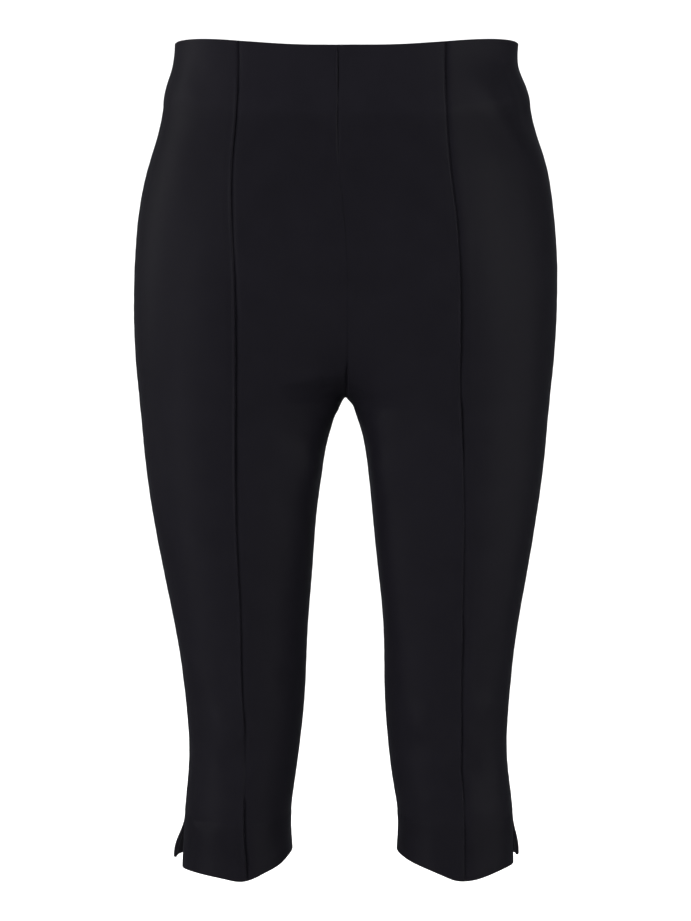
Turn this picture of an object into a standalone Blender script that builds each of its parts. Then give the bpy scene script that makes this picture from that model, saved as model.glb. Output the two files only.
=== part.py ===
"""Capri pants in stretch cloth, in the hollow shape that they keep when they are worn.

Metres, +Z up. The front faces -Y, and the wearer's right is at -X. The origin is the centre of
the waist opening, level with the top edge at the side seams.

Each leg is one closed oval from the hem up to the crotch point. Above that point the ovals of
the two legs meet in the middle, and each is cut off there, so that the line of the cuts is the
curve of the crotch seam, from the front waist under to the back waist. Six panels are cut out of
this one surface along the seams: for each leg a front panel, a side front panel and a back panel.
"""

from collections import namedtuple

import bmesh
import bpy
import numpy as np

MM = 0.001

# Driving sizes, in millimetres.
CLOTH = 1.5  # one layer of the stretch cloth
BAND = 2.8  # the wall where the waist facing lies behind it
TURN_UP = 2.6  # the wall where the hem is turned up
STEP = 5.0  # the length over which the wall changes its thickness
SEAM_GAP = 0.3  # between two panels
SEAM_ROLL = 0.9  # how deep the edge of a panel rolls in at a seam
ROLL_WIDTH = 2.2
BAND_MIDDLE = 60.0  # depth of the waist facing at the centre front and the centre back
BAND_SIDE = 45.0
WAIST_DIP = 9.3  # how much lower the top edge is at the centre front than at the sides
WAIST_BACK = 1.5  # how much higher it is at the centre back
WAIST_FADE = 70.0
CROTCH_DROP = 298.0
FRONT_CURVE = 105.0  # height of the front crotch curve
BACK_CURVE = 135.0
CURVE_POWER = 1.25
HEM_DROP = 702.0
HEM_FADE = 60.0
TURN_UP_DEPTH = 45.0
SIDE_SEAM = 84.0  # degrees round each leg, from its front to the side seam
SLIT = 46.0  # length of the slit above the hem at each side seam
SLIT_CURL = 26.0  # how far round the leg the cloth behind the slit curls out

# One row for each section: how far below the waist it is, the half widths on the wearer's right
# and left, how far from the middle each leg's front point is, the depths in front of and behind
# that leg's centre line, and how far behind the waist's centre that line is.
Section = namedtuple("Section", "drop right left centre front back behind")
SECTIONS = [
    Section(-20, 141.0, 143.0, 16, 98, 100, 0),
    Section(0, 143.0, 145.0, 20, 99, 102, 0),
    Section(19, 145.0, 145.0, 24, 101, 105, 0),
    Section(41, 151.5, 153.0, 29, 103, 109, 0),
    Section(66, 155.5, 158.0, 35, 106, 114, 0),
    Section(100, 165.0, 168.5, 43, 109, 121, 0),
    Section(134, 173.0, 174.5, 51, 110, 126, 0),
    Section(175, 177.5, 178.5, 61, 109, 128, 0),
    Section(219, 179.0, 179.0, 72, 104, 124, 0),
    Section(260, 178.0, 177.0, 81, 96, 114, 0),
    Section(303, 174.5, 173.0, 88, 87, 101, 0),
    Section(355, 169.5, 168.0, 93, 80, 91, -1),
    Section(406, 162.0, 161.0, 95, 74, 83, -3),
    Section(457, 152.0, 152.5, 95, 67, 74, -5),
    Section(508, 142.5, 144.5, 92, 61, 65, -5),
    Section(559, 136.0, 139.5, 89, 57, 60, -3),
    Section(610, 134.0, 138.5, 88, 56, 61, 1),
    Section(645, 137.0, 142.5, 91, 57, 62, 4),
    Section(675, 139.0, 144.0, 92, 57, 61, 5),
    Section(705, 140.5, 144.5, 92, 57, 60, 5),
    Section(730, 140.5, 144.5, 92, 57, 60, 5),
]

# How far each inseam is from the middle, on the way down from the crotch point.
Gap = namedtuple("Gap", "drop right left")
GAPS = [
    Gap(298, 0.15, 0.15),
    Gap(300, 1.8, 1.8),
    Gap(304, 4.0, 5.5),
    Gap(311, 7.7, 8.5),
    Gap(323, 12.0, 12.5),
    Gap(340, 16.5, 16.5),
    Gap(362, 20.0, 19.5),
    Gap(391, 24.0, 22.5),
    Gap(440, 28.0, 27.5),
    Gap(491, 32.0, 32.5),
    Gap(559, 35.5, 34.0),
    Gap(593, 39.0, 36.5),
    Gap(627, 43.5, 40.5),
    Gap(660, 47.0, 45.0),
    Gap(690, 45.5, 44.0),
    Gap(730, 43.5, 42.0),
]

# How far the front seam of each leg is from the middle.
Seam = namedtuple("Seam", "drop right left")
FRONT_SEAMS = [
    Seam(-20, 88.0, 81.5),
    Seam(45, 88.0, 81.0),
    Seam(75, 90.0, 82.0),
    Seam(110, 92.5, 85.5),
    Seam(140, 93.0, 88.5),
    Seam(175, 91.5, 91.0),
    Seam(230, 90.0, 92.5),
    Seam(300, 90.5, 93.5),
    Seam(370, 91.0, 96.5),
    Seam(430, 89.5, 97.0),
    Seam(480, 87.5, 96.5),
    Seam(540, 85.5, 95.0),
    Seam(600, 83.5, 95.0),
    Seam(650, 84.0, 97.0),
    Seam(690, 83.0, 98.0),
    Seam(730, 80.0, 98.5),
]

# How far the centre front seam leans to the wearer's right.
Lean = namedtuple("Lean", "drop right")
CENTRE_FRONT = [Lean(-20, 6.5), Lean(60, 6.0), Lean(105, 5.0), Lean(150, 2.0), Lean(185, 0.0)]

# The hem of the front and of the back: how much lower it is than HEM_DROP on each leg, by the
# angle round the leg from its front. Negative angles are on the inside of the leg.
HemPoint = namedtuple("HemPoint", "angle right left")
FRONT_HEM = [
    HemPoint(-90, -13.5, -13.5),
    HemPoint(-70, -12.5, -13.0),
    HemPoint(-50, -7.5, -10.5),
    HemPoint(-30, -3.0, -7.0),
    HemPoint(-10, 1.5, -1.5),
    HemPoint(0, 2.5, 1.5),
    HemPoint(10, 1.0, 2.5),
    HemPoint(30, -1.0, 0.0),
    HemPoint(50, -1.5, -3.0),
    HemPoint(70, -0.5, -3.5),
    HemPoint(84, 1.0, -2.5),
]
BACK_HEM = [
    HemPoint(84, -7.5, -10.0),
    HemPoint(110, -7.0, -8.0),
    HemPoint(180, -6.0, -7.0),
    HemPoint(230, -10.0, -10.0),
    HemPoint(270, -13.5, -13.5),
]

# How far the back corner of each side slit curls out.
Curl = namedtuple("Curl", "right left")
SLIT_CORNER = Curl(7.5, 4.5)

# The largest soft folds, each a ridge (or, with a negative height, a trough) between two points,
# which are given as distances from the middle and below the waist.
Fold = namedtuple("Fold", "leg face from_out from_drop to_out to_drop width height")
FOLDS = [
    Fold("right", "front", 14, 297, 52, 305, 9, -2.0),
    Fold("right", "front", 22, 319, 48, 312, 9, 1.5),
    Fold("left", "front", 16, 303, 44, 299, 8, -1.2),
    Fold("right", "back", 38, 318, 118, 304, 13, -1.8),
    Fold("left", "back", 44, 324, 108, 312, 12, -1.6),
    Fold("right", "back", 66, 556, 118, 548, 10, -1.6),
    Fold("left", "back", 72, 562, 122, 570, 11, -1.5),
]

FRONT_COLUMNS = 6
SIDE_COLUMNS = 6
BACK_COLUMNS = 12
LINE_POINTS = 97


def curve(rows, column):
    """A smooth curve through one column of a table, as a function of the table's first column."""
    at = np.array([row[0] for row in rows], float)
    value = np.array([getattr(row, column) for row in rows], float)
    step = np.diff(at)
    slope = np.diff(value) / step
    count = len(at)
    system = np.eye(count)
    known = np.zeros(count)
    for i in range(1, count - 1):
        system[i, i - 1 : i + 2] = step[i - 1], 2 * (step[i - 1] + step[i]), step[i]
        known[i] = 6 * (slope[i] - slope[i - 1])
    bend = np.linalg.solve(system, known)

    def read(x):
        x = np.clip(x, at[0], at[-1])
        i = np.clip(np.searchsorted(at, x) - 1, 0, count - 2)
        left, right = x - at[i], at[i + 1] - x
        return (
            (bend[i] * right**3 + bend[i + 1] * left**3) / (6 * step[i])
            + (value[i] / step[i] - bend[i] * step[i] / 6) * right
            + (value[i + 1] / step[i] - bend[i + 1] * step[i] / 6) * left
        )

    return read


def smooth(t):
    """0 before 0, 1 after 1, and an even S between them."""
    t = np.clip(t, 0, 1)
    return t * t * (3 - 2 * t)


class Leg:
    """One leg with its half of the seat, in millimetres.

    A place on it is a drop below the waist and an angle, in radians, which runs from the leg's
    front outwards and round the back. Negative angles are on the inside of the leg.
    """

    def __init__(self, side, sign):
        self.side = side
        self.sign = sign
        self.half_width = curve(SECTIONS, side)
        self.centre = curve(SECTIONS, "centre")
        self.front = curve(SECTIONS, "front")
        self.back = curve(SECTIONS, "back")
        self.behind = curve(SECTIONS, "behind")
        self.gap = curve(GAPS, side)
        self.seam = curve(FRONT_SEAMS, side)
        self.lean = curve(CENTRE_FRONT, "right")
        self.front_hem = curve(FRONT_HEM, side)
        self.back_hem = curve(BACK_HEM, side)
        self.curl = getattr(SLIT_CORNER, side)

    def inner_width(self, drop, curve_height):
        """Half width of the oval on its inner side, which is past the middle above the crotch."""
        centre = self.centre(drop)
        above = np.clip((CROTCH_DROP - drop) / curve_height, 0, 1)
        share = np.maximum((1 - above) ** CURVE_POWER, 0.02)
        crossing = (centre - SEAM_GAP / 2) / share
        return np.where(drop < CROTCH_DROP, crossing, centre - self.gap(drop))

    def oval(self, drop, angle):
        """Points of the plain oval."""
        centre = self.centre(drop)
        inner_front = self.inner_width(drop, FRONT_CURVE)
        inner_back = self.inner_width(drop, BACK_CURVE)
        inner = np.where(np.cos(angle) > 0, inner_front, inner_back)
        width = np.where(np.sin(angle) > 0, self.half_width(drop) - centre, inner)
        depth = np.where(np.cos(angle) > 0, self.front(drop), self.back(drop))
        x = centre + width * np.sin(angle)
        y = self.behind(drop) - depth * np.cos(angle)
        return np.stack([self.sign * x, y, -drop + 0 * x], axis=-1)

    def normal(self, drop, angle):
        """Unit vectors that point out of the oval."""
        turn = 0.2 / np.maximum(self.inner_width(drop, FRONT_CURVE), 200.0)
        around = self.oval(drop, angle + turn) - self.oval(drop, angle - turn)
        down = self.oval(drop + 0.1, angle) - self.oval(drop - 0.1, angle)
        out = np.cross(down, around) * self.sign
        return out / np.linalg.norm(out, axis=-1, keepdims=True)

    def fold_lift(self, points, out):
        """How far the folds lift the cloth at each point."""
        lift = np.zeros(points.shape[:-1])
        across = np.stack([points[..., 0] * self.sign, points[..., 2]], axis=-1)
        for fold in FOLDS:
            if fold.leg != self.side:
                continue
            start = np.array([fold.from_out, -fold.from_drop])
            along = np.array([fold.to_out, -fold.to_drop]) - start
            away = across - start
            share = np.clip((away @ along) / (along @ along), 0, 1)
            distance = np.linalg.norm(away - share[..., None] * along, axis=-1)
            facing = -out[..., 1] if fold.face == "front" else out[..., 1]
            lift += fold.height * np.exp(-((distance / fold.width) ** 2)) * smooth(facing / 0.5)
        return lift

    def edge_angle(self, edge, drop):
        """Where a panel's edge lies round the leg at this drop."""
        centre = self.centre(drop)
        if edge == "side seam":
            return np.radians(SIDE_SEAM) + 0 * drop
        if edge == "front seam":
            away = self.seam(drop) - centre
            outer = np.arcsin(np.clip(away / (self.half_width(drop) - centre), 0, 1))
            inner = np.arcsin(np.clip(-away / self.inner_width(drop, FRONT_CURVE), 0, 1))
            return outer - inner
        front = edge == "front middle"
        lean = -self.sign * self.lean(drop) if front else 0.0
        height = FRONT_CURVE if front else BACK_CURVE
        reach = (centre - SEAM_GAP / 2 - lean) / self.inner_width(drop, height)
        past = np.where(drop < CROTCH_DROP, np.arcsin(np.clip(reach, 0, 1)), np.pi / 2)
        return -past if front else np.pi + past

    def level(self, row, angle, kind):
        """The drop of a row's points: the rows follow the top edge and the hem near them."""
        at_waist = smooth(1 - row / WAIST_FADE)
        forward = np.cos(angle)
        dip = np.where(forward > 0, WAIST_DIP * forward**4, -WAIST_BACK * forward**2)
        at_hem = smooth(1 - (HEM_DROP - row) / HEM_FADE)
        hem = self.back_hem if kind == "back" else self.front_hem
        return row + dip * at_waist + hem(np.degrees(angle)) * at_hem

    def edge(self, edge, row, kind):
        """The angle of an edge in each row, at that row's own level there."""
        angle = self.edge_angle(edge, row)
        for _ in range(6):
            angle = self.edge_angle(edge, self.level(row, angle, kind))
        return angle


def panel_rows():
    """The drops of the rows of every panel: even, but close together near the crotch point."""
    above = CROTCH_DROP - 60.0 * (np.arange(5, 0, -1) / 5) ** 2
    below = CROTCH_DROP + 46.0 * (np.arange(1, 5) / 4) ** 1.6
    waist = [0.0, 14.0, 28.0, 41.0, 46.0, 54.0, 61.0, 68.0]
    seat = np.linspace(86.0, above[0], 9)[:-1]
    leg = np.linspace(below[-1], HEM_DROP - 52.0, 15)[1:]
    hem = HEM_DROP - np.array([46.0, 40.0, 30.0, 20.0, 10.0, 0.0])
    return np.concatenate([waist, seat, above, [CROTCH_DROP], below, leg, hem])


def column_places(length, crotch_length, columns):
    """Distances of a row's columns from the edge away from the middle.

    Above the crotch point the middle edge moves away fast, and mostly the columns near it follow.
    """
    short = max(crotch_length - length, 0.0)
    power = 1 + 3 / (1 + (6 * short / crotch_length) ** 2)
    share = np.arange(1, columns) / columns
    return (length + short) * share - short * share**power


Grid = namedtuple("Grid", "row level angle from_start from_end")


def panel_grid(leg, kind, from_edge, to_edge, columns):
    """The place of each point of a panel, and its distances from the two edges."""
    row = panel_rows()
    start = leg.edge(from_edge, row, kind)
    end = leg.edge(to_edge, row, kind)
    fine = start[:, None] + (end - start)[:, None] * np.linspace(0, 1, LINE_POINTS)
    line = leg.oval(leg.level(row[:, None], fine, kind), fine)
    steps = np.linalg.norm(np.diff(line, axis=1), axis=2)
    length = np.concatenate([np.zeros((len(row), 1)), np.cumsum(steps, axis=1)], axis=1)
    at_crotch = np.interp(CROTCH_DROP, row, length[:, -1])
    angle, from_start, from_end = [], [], []
    for i, total in enumerate(length[:, -1]):
        cut_at_middle = row[i] < CROTCH_DROP
        low = 0.0 if cut_at_middle and from_edge == "front middle" else SEAM_GAP / 2
        high = total if cut_at_middle and to_edge == "back middle" else total - SEAM_GAP / 2
        inside = column_places(total, max(at_crotch, total), columns)
        if from_edge == "front middle":
            inside = total - inside[::-1]
        at = np.concatenate([[low, low + ROLL_WIDTH], inside, [high - ROLL_WIDTH, high]])
        angle.append(np.interp(at, length[i], fine[i]))
        from_start.append(at - low)
        from_end.append(high - at)
    row = row[:, None]
    angle = np.array(angle)
    return Grid(row, leg.level(row, angle, kind), angle, np.array(from_start), np.array(from_end))


def wall(grid):
    """The thickness of the cloth: more at the waist facing and at the hem's turn-up."""
    facing = BAND_SIDE + (BAND_MIDDLE - BAND_SIDE) * np.cos(grid.angle) ** 2
    at_waist = smooth((facing - grid.row) / STEP + 0.5)
    at_hem = smooth((grid.row - (HEM_DROP - TURN_UP_DEPTH)) / STEP + 0.5)
    return CLOTH + (BAND - CLOTH) * at_waist + (TURN_UP - CLOTH) * at_hem


def slit_curl(leg, grid):
    """How far the cloth behind the slit curls out."""
    open_share = (grid.row - (HEM_DROP - SLIT)) / SLIT
    near = np.exp(-((grid.from_start / SLIT_CURL) ** 2))
    return leg.curl * smooth((open_share - 0.1) / 0.8) * near


def panel_points(leg, kind, from_edge, to_edge, columns):
    """Outer and inner points of a panel."""
    grid = panel_grid(leg, kind, from_edge, to_edge, columns)
    out = leg.normal(grid.level, grid.angle)
    base = leg.oval(grid.level, grid.angle)
    from_edges = np.minimum(grid.from_start, grid.from_end)
    lift = leg.fold_lift(base, out) - SEAM_ROLL * (1 - smooth(from_edges / ROLL_WIDTH))
    if kind == "back":
        lift = lift + slit_curl(leg, grid)
    outer = base + out * lift[..., None]
    return outer, outer - out * wall(grid)[..., None]


def cloth_material(name):
    material = bpy.data.materials.new(name)
    material.use_nodes = True
    shader = material.node_tree.nodes["Principled BSDF"]
    shader.inputs["Base Color"].default_value = (0.012, 0.012, 0.014, 1)
    shader.inputs["Roughness"].default_value = 0.75
    shader.inputs["Metallic"].default_value = 0.0
    return material


def grid_faces(bm, points):
    """A sheet through a grid of points, and its vertices row by row."""
    verts = [[bm.verts.new(point * MM) for point in row] for row in points]
    for upper, lower in zip(verts, verts[1:]):
        for i in range(len(upper) - 1):
            bm.faces.new((upper[i], upper[i + 1], lower[i + 1], lower[i]))
    return verts


def rim(verts):
    """The vertices round the edge of a grid, in order."""
    right = [row[-1] for row in verts[1:-1]]
    left = [row[0] for row in verts[1:-1]]
    return verts[0] + right + verts[-1][::-1] + left[::-1]


def cloth_panel(name, outer, inner):
    """One panel as a closed wall between its outer and its inner points."""
    bm = bmesh.new()
    outer_rim = rim(grid_faces(bm, outer))
    inner_rim = rim(grid_faces(bm, inner))
    for i in range(len(outer_rim)):
        bm.faces.new((outer_rim[i - 1], outer_rim[i], inner_rim[i], inner_rim[i - 1]))
    bmesh.ops.recalc_face_normals(bm, faces=bm.faces)
    mesh = bpy.data.meshes.new(name)
    bm.to_mesh(mesh)
    bm.free()
    mesh.materials.append(cloth_material(name + "_cloth"))
    mesh.shade_smooth()
    mesh.set_sharp_from_angle(angle=np.radians(50))
    made = bpy.data.objects.new(name, mesh)
    bpy.context.scene.collection.objects.link(made)
    return made


def main():
    for old in list(bpy.data.objects):
        bpy.data.objects.remove(old)
    pieces = (
        ("front", "front middle", "front seam", FRONT_COLUMNS),
        ("side", "front seam", "side seam", SIDE_COLUMNS),
        ("back", "side seam", "back middle", BACK_COLUMNS),
    )
    for leg in (Leg("right", -1), Leg("left", 1)):
        for kind, from_edge, to_edge, columns in pieces:
            outer, inner = panel_points(leg, kind, from_edge, to_edge, columns)
            cloth_panel(f"{kind}_{leg.side}", outer, inner)


main()
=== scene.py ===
"""Slim high-waisted capri pants in black stretch cloth, sewn panel by panel over their frame.

The tables and most sizes are in millimetres. +Z is up, the front faces -Y, and the wearer's right
is at -X. A place on a leg is a drop below the waist and an angle round the leg, which runs from its
front outwards and round the back. Each panel is a closed thin sheet: the outside of the cloth, the
inside with the facing, the turned-up hem and the seam allowances on it, and the edges between them.
"""

from collections import namedtuple

import bpy
import numpy as np
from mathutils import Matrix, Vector


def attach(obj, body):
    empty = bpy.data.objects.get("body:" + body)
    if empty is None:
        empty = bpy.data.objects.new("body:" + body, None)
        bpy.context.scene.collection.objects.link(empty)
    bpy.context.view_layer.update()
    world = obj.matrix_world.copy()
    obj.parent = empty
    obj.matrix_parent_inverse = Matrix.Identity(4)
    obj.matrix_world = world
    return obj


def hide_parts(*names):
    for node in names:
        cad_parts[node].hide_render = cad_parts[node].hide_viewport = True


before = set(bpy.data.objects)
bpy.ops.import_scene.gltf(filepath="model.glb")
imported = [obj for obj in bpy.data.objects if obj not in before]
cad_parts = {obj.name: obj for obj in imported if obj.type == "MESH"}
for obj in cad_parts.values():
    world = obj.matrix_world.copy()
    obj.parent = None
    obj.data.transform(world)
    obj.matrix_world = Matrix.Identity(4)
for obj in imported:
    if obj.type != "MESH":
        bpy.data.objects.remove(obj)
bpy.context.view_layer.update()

bl_info = {
    "name": "Capri Pants",
    "version": (1, 0, 0),
    "blender": (4, 5, 0),
    "location": "3D Viewport > Sidebar > Capri Pants",
    "description": "Sews slim capri pants in stretch cloth over their frame, with a plain studio",
    "category": "Object",
}

MM = 0.001


def table(fields, *rows):
    """Rows of numbers and words, each with the names of its fields."""
    row = namedtuple("Row", fields)
    return [row(*values) for values in rows]


# The driving sizes, which are those of the frame's solids.
WAIST_DIP = 9.3  # how much lower the top edge is at the centre front than at the sides
WAIST_BACK = 1.5  # how much higher it is at the centre back
WAIST_FADE = 70.0  # how far down the cloth follows the dip of the top edge
BAND_MIDDLE = 60.0  # depth of the waist facing at the centre front and the centre back
BAND_SIDE = 45.0  # its depth at the sides
CROTCH_DROP = 298.0
FRONT_CURVE = 105.0  # height of the front crotch curve
BACK_CURVE = 135.0
CURVE_POWER = 1.25  # how full both crotch curves are
HEM_DROP = 702.0
HEM_FADE = 60.0  # how far up the cloth follows the shape of the hem
HEM_LINE = HEM_DROP - 45.0  # where the turned-up hem's edge is sewn down inside
SIDE_SEAM = 84.0  # degrees round each leg, from its front to the side seam
SLIT = 46.0  # length of the slit above the hem at each side seam
SLIT_CURL = 26.0  # how far round the leg the cloth behind the slit curls out

# Each section of the legs: how far below the waist it is, the half widths on the wearer's right
# and left, how far from the middle each leg's front point is, the depths in front of and behind
# that leg's centre line, and how far behind the waist's centre that line is.
SECTIONS = table(
    "drop right left centre front back behind",
    (-20, 141.0, 143.0, 16, 98, 100, 0),
    (0, 143.0, 145.0, 20, 99, 102, 0),
    (19, 145.0, 145.0, 24, 101, 105, 0),
    (41, 151.5, 153.0, 29, 103, 109, 0),
    (66, 155.5, 158.0, 35, 106, 114, 0),
    (100, 165.0, 168.5, 43, 109, 121, 0),
    (134, 173.0, 174.5, 51, 110, 126, 0),
    (175, 177.5, 178.5, 61, 109, 128, 0),
    (219, 179.0, 179.0, 72, 104, 124, 0),
    (260, 178.0, 177.0, 81, 96, 114, 0),
    (303, 174.5, 173.0, 88, 87, 101, 0),
    (355, 169.5, 168.0, 93, 80, 91, -1),
    (406, 162.0, 161.0, 95, 74, 83, -3),
    (457, 152.0, 152.5, 95, 67, 74, -5),
    (508, 142.5, 144.5, 92, 61, 65, -5),
    (559, 136.0, 139.5, 89, 57, 60, -3),
    (610, 134.0, 138.5, 88, 56, 61, 1),
    (645, 137.0, 142.5, 91, 57, 62, 4),
    (675, 139.0, 144.0, 92, 57, 61, 5),
    (705, 140.5, 144.5, 92, 57, 60, 5),
    (730, 140.5, 144.5, 92, 57, 60, 5),
)

# How far each inseam is from the middle, on the way down from the crotch point.
GAPS = table(
    "drop right left",
    (298, 0.0, 0.0),
    (300, 1.8, 1.8),
    (304, 4.0, 5.5),
    (311, 7.7, 8.5),
    (323, 12.0, 12.5),
    (340, 16.5, 16.5),
    (362, 20.0, 19.5),
    (391, 24.0, 22.5),
    (440, 28.0, 27.5),
    (491, 32.0, 32.5),
    (559, 35.5, 34.0),
    (593, 39.0, 36.5),
    (627, 43.5, 40.5),
    (660, 47.0, 45.0),
    (690, 45.5, 44.0),
    (730, 43.5, 42.0),
)

# How far the long front seam of each leg is from the middle.
FRONT_SEAMS = table(
    "drop right left",
    (-20, 87.9, 82.3),
    (45, 87.2, 81.7),
    (75, 89.3, 83.2),
    (110, 91.8, 86.0),
    (140, 92.2, 89.4),
    (175, 90.6, 92.0),
    (230, 89.6, 93.5),
    (300, 90.1, 94.7),
    (370, 90.6, 97.9),
    (430, 89.0, 98.4),
    (480, 86.9, 97.8),
    (540, 86.1, 97.2),
    (600, 83.5, 97.6),
    (650, 85.0, 100.5),
    (690, 83.3, 101.0),
    (730, 80.0, 101.5),
)

# How far the centre front seam leans to the wearer's right.
CENTRE_FRONT = table(
    "drop right",
    (-20, 6.3),
    (60, 6.0),
    (105, 5.4),
    (145, 1.5),
    (185, -1.0),
    (230, -1.5),
    (280, -1.5),
    (292, -0.8),
    (298, 0.0),
)

# The hem of the front and of the back: how much lower it is than HEM_DROP on each leg, by the
# angle round the leg. Negative angles are on the inside of the leg.
HEM_POINT = "angle right left"
FRONT_HEM = table(
    HEM_POINT,
    (-90, -13.5, -13.5),
    (-70, -12.5, -13.0),
    (-50, -7.5, -10.5),
    (-30, -3.0, -7.0),
    (-10, 2.3, -1.5),
    (0, 2.4, 1.5),
    (10, 0.9, 2.5),
    (30, -1.0, 0.0),
    (50, -1.5, -3.0),
    (70, -0.5, -3.5),
    (84, 1.0, -2.5),
)
BACK_HEM = table(
    HEM_POINT,
    (84, -7.5, -10.0),
    (110, -7.0, -8.0),
    (180, -6.0, -7.0),
    (230, -10.0, -10.0),
    (270, -13.5, -13.5),
)

# How far the back corner of each side slit curls out.
SLIT_CORNER = {"right": 7.5, "left": 4.5}

# The largest soft folds, each a ridge (or, with a negative height, a trough) between two points,
# which are given as distances from the middle and below the waist.
FOLDS = table(
    "leg face from_out from_drop to_out to_drop width height",
    ("right", "front", 6, 288, 36, 304, 8, -0.6),
    ("right", "front", 26, 280, 50, 282, 5, 1.1),
    ("right", "back", 38, 318, 118, 304, 13, -1.8),
    ("left", "back", 44, 324, 108, 312, 12, -1.6),
    ("right", "back", 66, 556, 118, 548, 10, -1.6),
    ("left", "back", 72, 562, 122, 570, 11, -1.5),
)

# The smaller creases of each leg, from one place to another, each bowed down in its middle and
# fading out at both ends. A negative height is a trough.
CREASES = table(
    "leg from_angle from_drop to_angle to_drop bow width height",
    # Where the front pulls at the crotch.
    ("right", -52, 281, -20, 279, -3, 6, 1.4),
    ("right", -80, 292, -44, 290, 2, 5, -1.3),
    ("right", -70, 338, -28, 322, 3, 9, -1.1),
    ("right", -76, 356, -40, 350, 3, 10, 0.8),
    ("left", -66, 288, -30, 292, -2, 7, 1.0),
    ("left", -72, 318, -36, 306, 3, 7, 1.0),
    ("left", -74, 340, -30, 330, 4, 10, -0.8),
    # The knees.
    ("right", 30, 556, -10, 574, 5, 12, 1.1),
    ("right", 20, 590, -24, 600, 4, 11, -1.3),
    ("right", 62, 508, 24, 528, 6, 13, 0.8),
    ("right", -30, 536, -66, 520, 4, 10, -0.8),
    ("left", -10, 556, -40, 566, 4, 12, 1.1),
    ("left", -18, 586, -60, 594, 3, 11, -1.1),
    ("left", 44, 546, 12, 560, 4, 11, 1.3),
    ("left", 34, 604, -4, 612, 3, 12, -1.3),
    # The tops of the turned-up hems.
    ("right", 58, 656, 10, 653, 1, 4, -0.9),
    # The waist and the hips.
    ("right", 58, 20, 34, 44, 4, 12, -0.8),
    ("right", 78, 70, 40, 96, 6, 14, 0.8),
    ("left", 38, 30, 58, 108, -5, 11, 1.4),
    ("left", 62, 14, 74, 92, -4, 13, -1.3),
    ("left", 84, 120, 60, 150, 5, 15, 0.8),
    # Under the seat and on the way to the side seams.
    ("right", 244, 292, 196, 300, 9, 10, -1.8),
    ("right", 236, 330, 190, 334, 8, 11, 1.3),
    ("right", 226, 352, 176, 346, 7, 12, -1.1),
    ("right", 160, 262, 118, 238, -6, 13, 1.0),
    ("left", 240, 296, 200, 306, 8, 10, -1.6),
    ("left", 232, 338, 182, 340, 9, 12, 1.1),
    ("left", 150, 270, 112, 250, -5, 14, 1.0),
    ("left", 222, 366, 188, 358, 5, 11, -1.0),
    # Behind the knees.
    ("right", 232, 530, 168, 538, 6, 9, -1.6),
    ("right", 220, 574, 150, 566, -6, 9, 1.4),
    ("right", 212, 588, 160, 592, 4, 8, -1.1),
    ("left", 226, 544, 164, 536, 5, 9, -1.4),
    ("left", 216, 586, 146, 580, -5, 9, 1.3),
    ("left", 200, 608, 156, 604, 4, 8, -1.0),
    # The small of the back, below the facing.
    ("right", 204, 84, 150, 96, 7, 14, -1.1),
    ("left", 210, 90, 158, 82, 6, 13, -1.0),
    ("right", 120, 60, 96, 92, 3, 12, 0.8),
    ("left", 132, 52, 104, 80, 3, 12, 0.8),
)

# Broad soft swells and hollows. The first six fill out the insides of the thighs, and the others
# keep the cloth from being quite even.
SWELLS = table(
    "leg angle drop wide tall height",
    ("right", -68, 300, 16, 26, 4.0),
    ("right", -52, 345, 24, 34, 6.0),
    ("right", -54, 410, 24, 60, 3.5),
    ("left", -68, 300, 16, 26, 4.0),
    ("left", -52, 345, 24, 40, 7.0),
    ("left", -54, 430, 24, 90, 5.5),
    ("right", 12, 580, 16, 15, 2.4),
    ("right", 2, 604, 13, 11, -1.4),
    ("left", -28, 570, 18, 15, 2.2),
    ("left", 14, 580, 17, 20, 1.9),
    ("left", 6, 618, 15, 12, -1.7),
    ("right", 32, 669, 16, 11, 1.5),
    ("left", 30, 649, 18, 8, 0.7),
    ("left", -24, 637, 15, 8, 1.0),
    ("right", -10, 660, 20, 12, -1.0),
    ("left", 70, 660, 18, 14, 0.4),
    ("right", -30, 230, 40, 60, -0.8),
    ("left", -34, 250, 34, 56, -0.8),
    ("right", 40, 130, 26, 30, 0.5),
    ("left", 40, 100, 18, 18, 0.7),
    ("right", 10, 400, 26, 50, -0.6),
    ("left", 12, 430, 24, 60, -0.7),
    ("right", 150, 420, 34, 40, -0.9),
    ("left", 165, 440, 32, 46, -0.8),
    ("right", 190, 640, 26, 24, 0.7),
    ("left", 175, 646, 28, 22, 0.6),
)

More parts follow.
